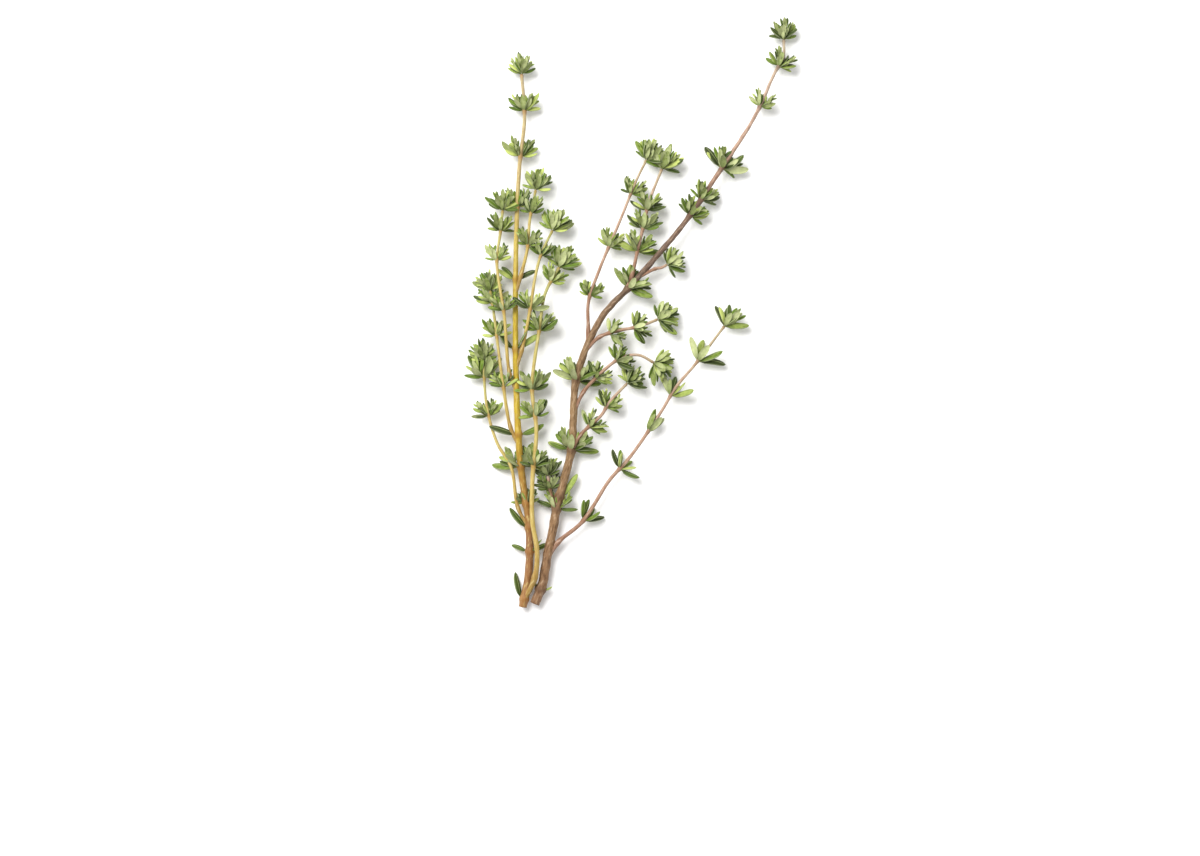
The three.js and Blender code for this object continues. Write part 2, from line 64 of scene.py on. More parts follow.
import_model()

# --- The plan of the sprig, as in the CAD source, in mm --------------------------------------------
# line: points of the stem's centre line; radii: at its base and tip; parent: what it grows from.
# whorls: share of the line, leaf length, turn of the first leaf round the stem (0 right, 90 up),
# leaves, spread from the stem, and age (0 fresh and yellow green, 1 dark and greyish).
SHOOTS = {
    "green_stem": {
        "separate": True,
        "radii": (1.2, 0.45),
        "bark": "green",
        "line": [(-33, -88, 2.1), (-31.2, -78, 2.4), (-31, -64, 2.9), (-33.6, -45, 3.5),
                 (-34.8, -23, 4), (-35, 16, 4.2), (-34, 43, 3.8), (-32.4, 59, 3.5), (-33.3, 72, 3.2)],
        "whorls": [(0.015, 7.6, 180, 1, 24, 0.9), (0.105, 5.2, 8, 3, 62, 0.7),
                   (0.15, 8.6, 178, 1, 34, 0.4), (0.195, 5, 195, 4, 32, 0.9),
                   (0.265, 8.2, 184, 7, 74, 0.7), (0.325, 8, 172, 2, 62, 0.6),
                   (0.485, 7.8, 6, 3, 42, 0.3), (0.615, 6.6, 185, 3, 62, 0.5),
                   (0.75, 6.4, 200, 7, 38, 0.2), (0.845, 6.3, 170, 7, 54, 0.25),
                   (0.93, 6.4, 8, 6, 38, 0.2), (1, 5.4, 30, 7, 42, 0.2)],
    },
    "woody_stem": {
        "separate": True,
        "radii": (1.4, 0.4),
        "bark": "woody",
        "line": [(-29.4, -87, 2.4), (-27.2, -81.5, 2.4), (-25.8, -74, 2.6), (-24.2, -66, 2.8),
                 (-22.3, -56.5, 3.1), (-18.4, -41, 3.4), (-16.7, -19, 3.9), (-9.5, -1.5, 4.4),
                 (0.5, 9.6, 4.5), (15.8, 27.6, 4.5), (26, 42.6, 4.2), (36.8, 59.4, 3.8),
                 (42.5, 72, 3.4), (45.2, 77, 3.3), (45.4, 82.4, 3.2)],
        "whorls": [(0.025, 3, 5, 2, 42, 0.5), (0.155, 6, 190, 6, 66, 0.6), (0.175, 8.4, 3, 1, 13, 0),
                   (0.25, 7.6, 8, 7, 66, 0.6), (0.36, 7.8, 176, 7, 76, 0.6), (0.53, 7.8, 6, 7, 66, 0.6),
                   (0.68, 6.4, 160, 6, 46, 0.6), (0.71, 6.2, 150, 6, 36, 0.6),
                   (0.77, 7.8, 165, 7, 62, 0.5), (0.885, 4.8, 20, 7, 60, 0.45),
                   (0.955, 5.6, 185, 7, 52, 0.8), (1, 5.6, 0, 7, 34, 0.85)],
    },
    "long_green_shoot": {
        "separate": True,
        "radii": (0.75, 0.4),
        "bark": "gold",
        "parent": "green_stem",
        "line": [(-29.3, -79, 4.6), (-28.6, -71, 5.2), (-30, -62, 5.3), (-30, -50, 5.2),
                 (-28.8, -35, 5.2), (-30.1, -22, 5.2), (-27.8, -4, 5), (-26.2, 6, 4.8), (-22, 14, 4.5)],
        "whorls": [(0.355, 5.6, 20, 7, 62, 0.7), (0.51, 6, 350, 7, 34, 0.5),
                   (0.595, 7.4, 8, 7, 52, 0.35), (0.785, 6.6, 5, 7, 46, 0.3),
                   (0.945, 5.6, 170, 6, 40, 0.3), (1, 6.8, 350, 7, 44, 0.2)],
    },
    "low_branch": {
        "separate": True,
        "radii": (0.6, 0.38),
        "bark": "pink",
        "parent": "woody_stem",
        "line": [(-22.4, -68.6, 2.8), (-15, -62.3, 3), (-7, -50, 3), (-0.8, -43, 3.1), (8.8, -29, 3.2),
                 (13, -22, 3.2), (18.5, -15.5, 3.2), (27.6, -3.6, 3.1)],
        "whorls": [(0.125, 6.4, 165, 5, 36, 0.5), (0.355, 6, 178, 7, 66, 0.5),
                   (0.525, 6.8, 200, 6, 15, 0.4), (0.68, 7.4, 195, 6, 46, 0.4),
                   (0.84, 8, 3, 5, 54, 0.6), (1, 7.6, 5, 5, 48, 0.7)],
    },
    "upper_branch": {
        "separate": True,
        "radii": (0.5, 0.38),
        "bark": "pink",
        "parent": "woody_stem",
        "line": [(-0.2, 11.4, 4.9), (1.4, 18.6, 5), (3.2, 26, 4.8), (4.8, 33, 4.6), (8.8, 43.5, 4.2)],
        "whorls": [(0.22, 7.2, 176, 7, 74, 0.6), (0.43, 6.2, 350, 7, 52, 0.5),
                   (0.6, 6.2, 5, 7, 58, 0.5), (1, 7.4, 0, 7, 46, 0.5)],
    },
    "inner_branch": {
        "separate": True,
        "radii": (0.5, 0.36),
        "bark": "pink",
        "parent": "woody_stem",
        "line": [(-13.3, -4.8, 4.4), (-13.2, 3.6, 4.8), (-10.3, 12.3, 4.8), (-3.4, 28.8, 4.6),
                 (1.4, 40.6, 4.3), (4.2, 46.2, 4.1)],
        "whorls": [(0.185, 5.2, 355, 4, 46, 0.4), (0.475, 5.6, 178, 7, 40, 0.5),
                   (0.79, 5.2, 180, 7, 42, 0.5), (1, 6.4, 180, 7, 42, 0.6)],
    },
    "outer_left_shoot": {
        "radii": (0.5, 0.36),
        "bark": "gold",
        "parent": "green_stem",
        "line": [(-34.4, -58, 3.2), (-36.4, -46, 3.6), (-40.6, -38.7, 3.6), (-43.6, -28.5, 3.6),
                 (-44.8, -14, 3.6)],
        "whorls": [(0.635, 5.6, 175, 6, 60, 0.4), (0.885, 8.6, 176, 5, 30, 0.4), (1, 6, 10, 6, 36, 0.3)],
    },
    "left_shoot": {
        "radii": (0.5, 0.36),
        "bark": "gold",
        "parent": "green_stem",
        "line": [(-36.6, -34, 4), (-38.8, -21, 4.8), (-40.2, -10.8, 4.8), (-41.6, 0.5, 4.6),
                 (-42.7, 7, 4.2)],
        "whorls": [(0.295, 5, 190, 6, 52, 0.4), (0.665, 6.2, 175, 4, 34, 0.4),
                   (0.905, 6.2, 175, 6, 58, 0.3), (1, 5.6, 5, 6, 46, 0.2)],
    },
    "inner_left_shoot": {
        "radii": (0.5, 0.36),
        "bark": "gold",
        "parent": "green_stem",
        "line": [(-36.8, -18, 5), (-38.4, -0.3, 7), (-40.6, 15.6, 6.6), (-39.6, 24, 5.8),
                 (-38.9, 31, 5.2)],
        "whorls": [(0.385, 4.8, 0, 6, 56, 0.5), (0.69, 5.6, 180, 6, 40, 0.4),
                   (0.87, 5.8, 160, 6, 40, 0.5), (1, 6, 175, 6, 52, 0.3)],
    },
    "right_shoot": {
        "radii": (0.5, 0.36),
        "bark": "gold",
        "parent": "green_stem",
        "line": [(-33.2, -11, 5.2), (-30.4, 2.7, 6), (-29.3, 10.2, 6), (-27.4, 17.7, 5.6), (-24, 25, 5)],
        "whorls": [(0.34, 6, 185, 6, 68, 0.4), (0.775, 5, 175, 6, 42, 0.3), (1, 6.8, 5, 6, 46, 0.2)],
    },
    "upper_right_shoot": {
        "radii": (0.5, 0.36),
        "bark": "gold",
        "parent": "green_stem",
        "line": [(-33.4, 11.6, 5.4), (-31.4, 20, 5.4), (-30.8, 28, 5), (-29, 37.2, 4.6)],
        "whorls": [(0.345, 6, 10, 6, 28, 0.4), (0.72, 6, 30, 6, 32, 0.3), (1, 6.2, 350, 6, 32, 0.3)],
    },
    "dark_tuft": {
        "radii": (0.5, 0.4),
        "bark": "woody",
        "parent": "woody_stem",
        "line": [(-24.4, -54.6, 3.4), (-25, -51, 3.6), (-25.4, -48.4, 3.8)],
        "whorls": [(0.34, 5.2, 160, 6, 58, 1), (1, 5.4, 10, 6, 48, 0.95)],
    },
    "middle_right_shoot": {
        "radii": (0.5, 0.38),
        "bark": "pink",
        "parent": "woody_stem",
        "line": [(-10, -7, 4.8), (-4, -5, 5), (1, -4, 5), (4.4, -2.9, 4.6), (7.6, -1.6, 4.2)],
        "whorls": [(0.18, 5.2, 20, 6, 58, 0.6), (0.575, 5.6, 0, 6, 56, 0.5), (1, 6.6, 0, 6, 50, 0.5)],
    },
    "broad_right_shoot": {
        "radii": (0.5, 0.38),
        "bark": "pink",
        "parent": "woody_stem",
        "line": [(-14.7, -23.4, 4.2), (-8, -16.4, 5), (-3, -13, 5), (2, -12.4, 4.6), (6.4, -14.6, 4.2)],
        "whorls": [(0.205, 5.2, 180, 6, 52, 0.5), (0.52, 5.8, 10, 6, 58, 0.5), (1, 6.6, 0, 6, 56, 0.5)],
    },
    "lower_right_shoot": {
        "radii": (0.5, 0.38),
        "bark": "pink",
        "parent": "woody_stem",
        "line": [(-15.4, -36.2, 4), (-9.3, -30.3, 4.4), (-7, -26.6, 4.6), (-1.6, -20.8, 4.2)],
        "whorls": [(0.16, 5.4, 0, 6, 58, 0.5), (0.53, 5.6, 180, 6, 52, 0.4), (1, 5.6, 20, 6, 48, 0.5)],
    },
    "bud_shoot": {
        "radii": (0.45, 0.38),
        "bark": "pink",
        "parent": "woody_stem",
        "line": [(7, 13.6, 4.6), (8.6, 13.8, 4.6), (10.4, 14.8, 4.4)],
        "whorls": [(1, 5.6, 0, 6, 54, 0.5)],
    },
}

LEAF_WIDTH = 0.4  # over its length, as in the CAD; it decides how far a leaf is lifted
BLADE_WIDTH = 0.32  # over its length, of the shaped blade
LEAF_THICKNESS = 0.3
STEP_UP = 0.08  # added to a leaf's direction each time that it is lifted
MOST_STEPS_UP = 20
GROUND_SKIN = 0.35  # points lower than this above the ground, in mm, are pressed up
LEAF_ROOT = 0.8  # where leaves start, over the stem's radius

# How the leaves of a whorl differ from its first: turn added, shares of its spread and length.
LEAF_PATTERN = [(0, 1, 1), (180, 1, 0.94), (35, 0.5, 0.92), (215, 0.5, 0.88), (100, 0.55, 0.8),
                (300, 0.6, 0.75), (340, 0.38, 0.84)]
TURN_WOBBLE = 14
SPREAD_WOBBLE = 7
LENGTH_WOBBLE = 0.1
FLIPPED_BELOW = -0.6  # the wobble under which a leaf shows its lower face

# Tufts of small leaves: angles in degrees, places in mm.
LEAST_WITH_TUFTS = 4  # leaves in a whorl
WITHOUT_SIDE_TUFTS = {"low_branch"}
TUFT_TILT = 27
TUFT_LENGTH = 0.68  # of a tuft's leaves, over the length of the big ones
BUD_LENGTH = 0.86  # the same for the tuft that ends a shoot
BUD_TURN = 45
MORE_IN_TUFT = 4  # leaves than in its whorl
YOUNGER = 0.2  # taken off the age of its leaves
FIRST_PAIR = 0.25
PAIR_STEP = 0.72
PAIR_OUT = 0.1  # from the tuft's middle line
PAIR_TURN = 90
FIRST_SPREAD = 46
SPREAD_STEP = 10  # taken off with each pair
LEAST_SPREAD = 8
LENGTH_STEP = 0.08  # share of the length taken off with each pair
TUFT_TURN_WOBBLE = 25
TUFT_SPREAD_WOBBLE = 9
TUFT_LENGTH_WOBBLE = 0.12
TUFT_SEED = 500
TUFT_SEED_STEP = 3.1


def wobble(n):
    """A repeatable number from -1 to 1 for each number."""
    x = math.sin(n * 12.9898) * 43758.5453
    return 2 * (x - math.floor(x)) - 1


def varied(middle_and_wobble, n):
    """A repeatable number around a middle value."""
    middle, most = middle_and_wobble
    return middle + most * wobble(n)


def unit(v):
    return v / np.linalg.norm(v)


# --- Lines of the stems ----------------------------------------------------------------------------
STEPS_PER_SPAN = 40
AHEAD = 0.004  # share of a line between a point and the one that gives its direction


class Line:
    """A smooth centripetal curve through points, read by its share of the length."""

    def __init__(self, points):
        points = [np.array(p, float) for p in points]
        whole = [2 * points[0] - points[1], *points, 2 * points[-1] - points[-2]]
        samples = []
        for p0, p1, p2, p3 in zip(whole, whole[1:], whole[2:], whole[3:]):
            d0, d1, d2 = (math.sqrt(np.linalg.norm(b - a)) for a, b in ((p0, p1), (p1, p2), (p2, p3)))
            m1 = d1 * ((p1 - p0) / d0 - (p2 - p0) / (d0 + d1) + (p2 - p1) / d1)
            m2 = d1 * ((p2 - p1) / d1 - (p3 - p1) / (d1 + d2) + (p3 - p2) / d2)
            for t in np.linspace(0, 1, STEPS_PER_SPAN, endpoint=False):
                samples.append(
                    p1 + m1 * t + (3 * (p2 - p1) - 2 * m1 - m2) * t**2 + (2 * (p1 - p2) + m1 + m2) * t**3
                )
        samples.append(points[-1])
        self.samples = np.array(samples)
        steps = np.linalg.norm(np.diff(self.samples, axis=0), axis=1)
        self.at = np.concatenate([[0], np.cumsum(steps)])
        self.length = self.at[-1]

    def point(self, share):
        s = share * self.length
        return np.array([np.interp(s, self.at, self.samples[:, i]) for i in range(3)])

    def along(self, share):
        return unit(self.point(min(1, share + AHEAD)) - self.point(max(0, share - AHEAD)))


LINES = {name: Line(shoot["line"]) for name, shoot in SHOOTS.items()}


def radius_at(shoot, share):
    return shoot["radii"][0] + (shoot["radii"][1] - shoot["radii"][0]) * share


def plan_shift():
    """From the plan's place to the frame's, in mm: the median over the stems that are their own nodes."""
    shifts = []
    for name, shoot in SHOOTS.items():
        if shoot.get("separate"):
            low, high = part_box(name)
            line = LINES[name].samples
            middle = (line.max(0) + line.min(0)) / 2
            shifts.append((np.array(low) + np.array(high)) / 2 / MM - middle)
    return np.median(shifts, axis=0)


SHIFT = plan_shift()


# --- Meshes ----------------------------------------------------------------------------------------
class Surface:
    """Collects the points, faces and per-point values of one piece."""

    def __init__(self):
        self.points, self.faces, self.values = [], [], {}
        self.count = 0

    def add(self, points, faces, **values):
        self.points.append(points)
        self.faces += [tuple(i + self.count for i in face) for face in faces]
        for key, value in values.items():
            self.values.setdefault(key, []).append(value)
        self.count += len(points)

    def piece(self, name, material, node):
        mesh = bpy.data.meshes.new(name)
        points = (np.concatenate(self.points) + SHIFT) * MM
        mesh.from_pydata(points.tolist(), [], self.faces)
        for key, parts in self.values.items():
            data = np.concatenate(parts)
            kind = "FLOAT" if data.ndim == 1 else "FLOAT_VECTOR"
            attribute = mesh.attributes.new(key, kind, "POINT")
            field = "value" if data.ndim == 1 else "vector"
            attribute.data.foreach_set(field, data.astype(np.float32).ravel())
        mesh.shade_smooth()
        mesh.materials.append(material)
        made = bpy.data.objects.new(name, mesh)
        bpy.context.scene.collection.objects.link(made)
        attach(made, "root")
        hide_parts(node)
        return made


def loft_faces(rings, sides):
    """Quads between rings of points, with a fan at each end whose centre comes after all the rings."""
    faces = []
    for i in range(rings - 1):
        for k in range(sides):
            a, b = i * sides + k, i * sides + (k + 1) % sides
            faces.append((a, b, b + sides, a + sides))
    first, last = rings * sides, rings * sides + 1
    for k in range(sides):
        n = (k + 1) % sides
        faces.append((first, n, k))
        faces.append((last, (rings - 1) * sides + k, (rings - 1) * sides + n))
    return faces


# --- Leaves ----------------------------------------------------------------------------------------
LEAF_SIDES = 14
LEAF_RINGS = 11
LEAF_FACES = loft_faces(LEAF_RINGS, LEAF_SIDES)
FLATTEN = 0.55  # how far a leaf that grows sideways turns its face up, from 0 to 1

# Of a blade, a middle value and the most that is added or taken.
WIDTH = (1, 0.14)  # over BLADE_WIDTH
THICKNESS = (0.8, 0.2)  # over LEAF_THICKNESS
CURL = (14, 26)  # down towards the tip, in degrees
TWIST = (0, 16)  # along the blade, in degrees
FOLD = (0.16, 0.14)  # how far the halves stand up, over the half width
SWAY = (0, 0.05)  # sideways, over the length

# Of a blade, in shares of its length.
WIDEST = 0.53  # from the base
STALK_END = 0.12
PETIOLE_END = 0.16
THIN_BASE = 0.15
THIN_TIP = 0.12
BASE_CAP = 0.01
TIP_CAP = 0.012

# Of a blade, in shares of its half width or of its thickness.
PETIOLE_WIDTH = 0.13
LEAST_WIDTH = 0.02
MARGIN_ROLL = 0.42
MIDRIB_WIDTH = 0.2
GROOVE_DEPTH = 0.3
UNDER_DEPTH = 0.35
MARGIN_THINNING = 0.35
LEAST_AT_BASE = 0.35
LEAST_AT_TIP = 0.25

# Powers and end angles that give the outline, the edge and the bend their shapes.
BASE_POWER = 0.62
TIP_POWER = 0.5
EDGE_POWER = 0.6
BEND_POWER = 1.3
FIRST_RING = 0.06
LAST_RING = math.pi - 0.10


def leaf_axes(node, radius, turn, spread, length, flip):
    """A leaf's base and its directions along, across and out of the upper face."""
    point, along, right, above = node
    outward = math.cos(turn) * right + math.sin(turn) * above
    base = point + radius * outward
    axis = math.cos(spread) * along + math.sin(spread) * outward
    facing = math.sin(spread) * along - math.cos(spread) * outward
    flat = FLATTEN * abs(math.cos(turn))
    facing = (1 - flat) * facing + flat * flip * UP
    return lifted(base, axis, facing, length)


def lifted(base, axis, facing, length):
    """The leaf's directions, its tip raised in at most MOST_STEPS_UP steps out of the plan's ground."""
    for _ in range(MOST_STEPS_UP):
        across = unit(np.cross(axis, facing))
        face = np.cross(across, axis)
        middle = base[2] + axis[2] * length / 2
        side = abs(across[2]) * LEAF_WIDTH * length / 2
        below = abs(face[2]) * LEAF_THICKNESS / 2
        if min(base[2] + axis[2] * length, middle - side, middle - below) >= 0:
            break
        axis = unit(axis + STEP_UP * UP)
    return base, axis, across, face


def add_leaf(surface, axes, length, seed, age):
    """One blade: a flattened tube with a petiole, a grooved midrib and margins rolled under."""
    base, axis, across, face = axes
    width = BLADE_WIDTH * length * varied(WIDTH, seed + 0.11)
    thickness = LEAF_THICKNESS * varied(THICKNESS, seed + 0.17)
    curl = varied(CURL, seed + 0.23) * DEGREES
    twist = varied(TWIST, seed + 0.31) * DEGREES
    fold = varied(FOLD, seed + 0.37)
    sway = varied(SWAY, seed + 0.41)

    u = (1 - np.cos(np.linspace(FIRST_RING, LAST_RING, LEAF_RINGS))) / 2
    angle = np.linspace(0, 2 * math.pi, LEAF_SIDES, endpoint=False)
    v, top = np.cos(angle), np.sin(angle)
    outline = (u / WIDEST) ** BASE_POWER * ((1 - u) / (1 - WIDEST)) ** TIP_POWER
    petiole = PETIOLE_WIDTH * np.exp(-((u / PETIOLE_END) ** 2))
    opened = 1 - np.exp(-((u / STALK_END) ** 2))
    half = width / 2 * np.clip(outline * opened + petiole, LEAST_WIDTH, None)

    # rolled is the blade's middle surface above the line of the midrib, over the half width.
    rolled = fold * np.abs(v) - (MARGIN_ROLL + fold) * np.abs(v) ** 4
    ridge = np.exp(-((v / MIDRIB_WIDTH) ** 2))
    swell = np.abs(top) ** EDGE_POWER * np.sign(top)
    skin = swell * thickness / 2 * (1 - MARGIN_THINNING * np.abs(v))
    groove = np.where(top > 0, -GROOVE_DEPTH * thickness * ridge, -UNDER_DEPTH * thickness * ridge)

    bend = curl * u**BEND_POWER
    reach = length * np.cumsum(np.diff(np.concatenate([[0], u])) * np.cos(bend))
    drop = length * np.cumsum(np.diff(np.concatenate([[0], u])) * np.sin(bend))
    grow = np.clip(u / THIN_BASE, LEAST_AT_BASE, 1) * np.clip((1 - u) / THIN_TIP, LEAST_AT_TIP, 1)

    x = half[:, None] * v[None, :] + (sway * length * np.sin(math.pi * u))[:, None]
    z = half[:, None] * rolled[None, :] + grow[:, None] * (skin + groove)[None, :]
    turn = (twist * u)[:, None]
    x, z = x * np.cos(turn) - z * np.sin(turn), x * np.sin(turn) + z * np.cos(turn)
    y = reach[:, None] + z * np.sin(bend)[:, None]
    z = z * np.cos(bend)[:, None] - drop[:, None]
    grid = x[..., None] * across + y[..., None] * axis + z[..., None] * face
    grid = grid.reshape(-1, 3) + base
    first = grid[:LEAF_SIDES].mean(0)
    before_last = grid[-2 * LEAF_SIDES:-LEAF_SIDES].mean(0)
    last = grid[-LEAF_SIDES:].mean(0)
    base_end = first - BASE_CAP * length * axis
    tip_end = last + TIP_CAP * length * unit(last - before_last)
    points = np.concatenate([grid, [base_end, tip_end]])
    points[:, 2] = above_ground(points[:, 2])

    place = np.stack(
        [
            np.repeat(u, LEAF_SIDES),
            np.tile(v, LEAF_RINGS),
            np.tile(top, LEAF_RINGS),
        ],
        axis=1,
    )
    place = np.concatenate([place, [[0, 0, 0], [1, 0, 0]]])
    tone = np.full(len(points), 0.5 + 0.5 * wobble(seed + 0.53))
    surface.add(points, LEAF_FACES, leaf_place=place, leaf_tone=tone, leaf_age=np.full(len(points), age))


def above_ground(z):
    """Heights pressed up softly, so that nothing goes below the surface that the sprig lies on."""
    height = z + SHIFT[2]
    low = GROUND_SKIN * np.exp((np.minimum(height, GROUND_SKIN) - GROUND_SKIN) / GROUND_SKIN)
    return np.where(height > GROUND_SKIN, height, low) - SHIFT[2]


def node_frame(line, share):
    along = line.along(share)
    right = unit(np.cross(along, UP))
    return line.point(share), along, right, np.cross(right, along)


leaves_made = 0


def add_whorl(surface, name, whorl):
    """The leaves that grow at one place on a stem, with tufts in a full whorl and at the stem's tip."""
    global leaves_made
    share, length, turn, count, spread, age = whorl
    shoot = SHOOTS[name]
    node = node_frame(LINES[name], share)
    radius = LEAF_ROOT * radius_at(shoot, share)
    for added, spread_share, length_share in LEAF_PATTERN[:count]:
        leaves_made += 1
        seed = leaves_made
        size = length * length_share * (1 + LENGTH_WOBBLE * wobble(seed + 0.6))
        flip = -1 if wobble(seed + 0.8) < FLIPPED_BELOW else 1
        axes = leaf_axes(
            node,
            radius,
            (turn + added + TURN_WOBBLE * wobble(seed)) * DEGREES,
            (spread * spread_share + SPREAD_WOBBLE * wobble(seed + 0.3)) * DEGREES,
            size,
            flip,
        )
        add_leaf(surface, axes, size, seed, age)
    if count >= LEAST_WITH_TUFTS and name not in WITHOUT_SIDE_TUFTS:
        for side in (0, 180):
            add_tuft(surface, node, radius, turn + side, TUFT_TILT, TUFT_LENGTH * length, count, age)
    if share == 1:
        young = max(0, age - YOUNGER)
        add_tuft(surface, node, 0, turn + BUD_TURN, 0, BUD_LENGTH * length, count, young)


def add_tuft(surface, node, radius, turn, tilt, length, count, age):
    """Small leaves in crossed pairs on a short shoot, in the corner of a big leaf or at the tip."""
    point, along, right, above = node
    turn, tilt = turn * DEGREES, tilt * DEGREES
    outward = math.cos(turn) * right + math.sin(turn) * above
    axis = math.cos(tilt) * along + math.sin(tilt) * outward
    side = unit(np.cross(axis, UP))
    top = np.cross(side, axis)
    for i in range(count + MORE_IN_TUFT):
        seed = leaves_made + TUFT_SEED + TUFT_SEED_STEP * i + turn
        pair = i // 2
        around = (PAIR_TURN * pair + 180 * (i % 2) + TUFT_TURN_WOBBLE * wobble(seed)) * DEGREES
        opening = FIRST_SPREAD - SPREAD_STEP * pair + TUFT_SPREAD_WOBBLE * wobble(seed + 0.3)
        spread = max(LEAST_SPREAD, opening) * DEGREES
        size = length * (1 - LENGTH_STEP * pair + TUFT_LENGTH_WOBBLE * wobble(seed + 0.6))
        away = math.cos(around) * side + math.sin(around) * top
        base = point + radius * outward + (FIRST_PAIR + PAIR_STEP * pair) * axis + PAIR_OUT * away
        direction = math.cos(spread) * axis + math.sin(spread) * away
        facing = math.sin(spread) * axis - math.cos(spread) * away
        flat = FLATTEN * abs(math.cos(around))
        facing = (1 - flat) * facing + flat * UP
        add_leaf(surface, lifted(base, direction, facing, size), size, seed, max(0, age - YOUNGER))


# --- Stems -----------------------------------------------------------------------------------------
STEM_SIDES = 18
RING_STEP = 0.5
LEAST_RINGS = 8
ROUGH_BARK = 0.05  # of a woody stem's radius
LEAST_LAG = 1.5  # how much lower on its parent a branch starts, in mm
LAG_SHARE = 2.0  # and further down, over its first point's distance from the parent
NODE_SWELLING = 0.28  # of the radius, where leaves grow
NODE_LENGTH = 0.9  # of that swelling, in mm
NODE_COLOUR_LENGTH = 1.1  # of the darker bark there, in mm
WAVES = 0.03  # of the radius, along the stem
WAVE_TURN = 0.9  # radians of those waves with each mm
FLARE = 0.35  # of the radius, where a branch leaves its parent
FLARE_LENGTH = 2.5  # of that flare, in mm
FLARE_END = 0.06  # the share of the branch above which it never flares
TIP_RADIUS = 0.5  # of the radius, at the last ring
TIP_CENTRE = 0.1  # past the last ring, in mm
CORNERS = 0.05  # of the radius, the four angles of a thyme stem
UNEVEN = 0.02  # of the radius, three lobes that turn along the stem
LOBE_TURN = 20  # radians of those lobes over the stem's length


def root_of(parent, line):
    """The point inside the parent stem from which a branch bends out."""
    away = np.linalg.norm(parent.samples - line.point(0), axis=1)
    lag = LEAST_LAG + LAG_SHARE * away.min()
    return parent.point(max(0, (parent.at[away.argmin()] - lag) / parent.length))


def add_stem(surface, name):
    """A tapering stem with four faint angles, swollen where leaves grow, rooted in what it grows from."""
    shoot = SHOOTS[name]
    line = LINES[name]
    parent = shoot.get("parent")
    start = 0.0
    if parent:
        line = Line([root_of(LINES[parent], line), *shoot["line"]])
        start = 1 - LINES[name].length / line.length
    rings = max(LEAST_RINGS, int(line.length / RING_STEP))
    shares = np.linspace(0, 1, rings)
    angles = np.linspace(0, 2 * math.pi, STEM_SIDES, endpoint=False)
    points, along = [], []
    side = None
    for share in shares:
        tangent = line.along(share)
        if side is None:
            side = unit(np.cross(tangent, UP))
        side = unit(side - tangent * (side @ tangent))
        other = np.cross(tangent, side)
        own = (share - start) / (1 - start)
        radius = radius_at(shoot, max(0, own))
        swelling = sum(
            NODE_SWELLING * math.exp(-(((own - w[0]) * line.length / NODE_LENGTH) ** 2))
            for w in shoot["whorls"]
        )
        radius *= 1 + swelling + WAVES * math.sin(share * line.length * WAVE_TURN + len(name))
        if parent and own < FLARE_END:
            radius *= 1 + FLARE * max(0, 1 - abs(own) * line.length / FLARE_LENGTH)
        if share == 1:
            radius *= TIP_RADIUS
        uneven = UNEVEN * np.cos(3 * angles + share * LOBE_TURN)
        lobes = radius * (1 + CORNERS * np.cos(4 * angles) + uneven)
        if shoot["bark"] == "woody":
            # Two uneven waves that go round the stem and turn along it.
            mm = share * line.length
            lobes *= 1 + ROUGH_BARK * np.sin(2 * angles + 1.3 * mm) * math.sin(0.55 * mm)
            lobes *= 1 + ROUGH_BARK * np.sin(5 * angles - 0.8 * mm + 2 * math.sin(0.3 * mm))
        sideways = np.outer(lobes * np.cos(angles), side)
        upwards = np.outer(lobes * np.sin(angles), other)
        points.append(line.point(share) + sideways + upwards)
        along.append(np.full(STEM_SIDES, own))
    middle = [points[0].mean(0), points[-1].mean(0) + TIP_CENTRE * line.along(1)]
    grid = np.concatenate([*points, middle])
    grid[:, 2] = above_ground(grid[:, 2])
    around = np.tile(angles, rings)
    length = np.repeat(shares * line.length, STEM_SIDES)
    grain = np.stack([np.cos(around), np.sin(around), length], axis=1)
    grain = np.concatenate([grain, [[0, 0, 0], [0, 0, line.length]]])
    share = np.concatenate([*along, [0.0, 1.0]])
    nodes = sum(
        np.exp(-(((share - w[0]) * line.length / NODE_COLOUR_LENGTH) ** 2)) for w in shoot["whorls"]
    )
    surface.add(grid, loft_faces(rings, STEM_SIDES), stem_share=share, stem_grain=grain,
                stem_node=np.clip(nodes, 0, 1))


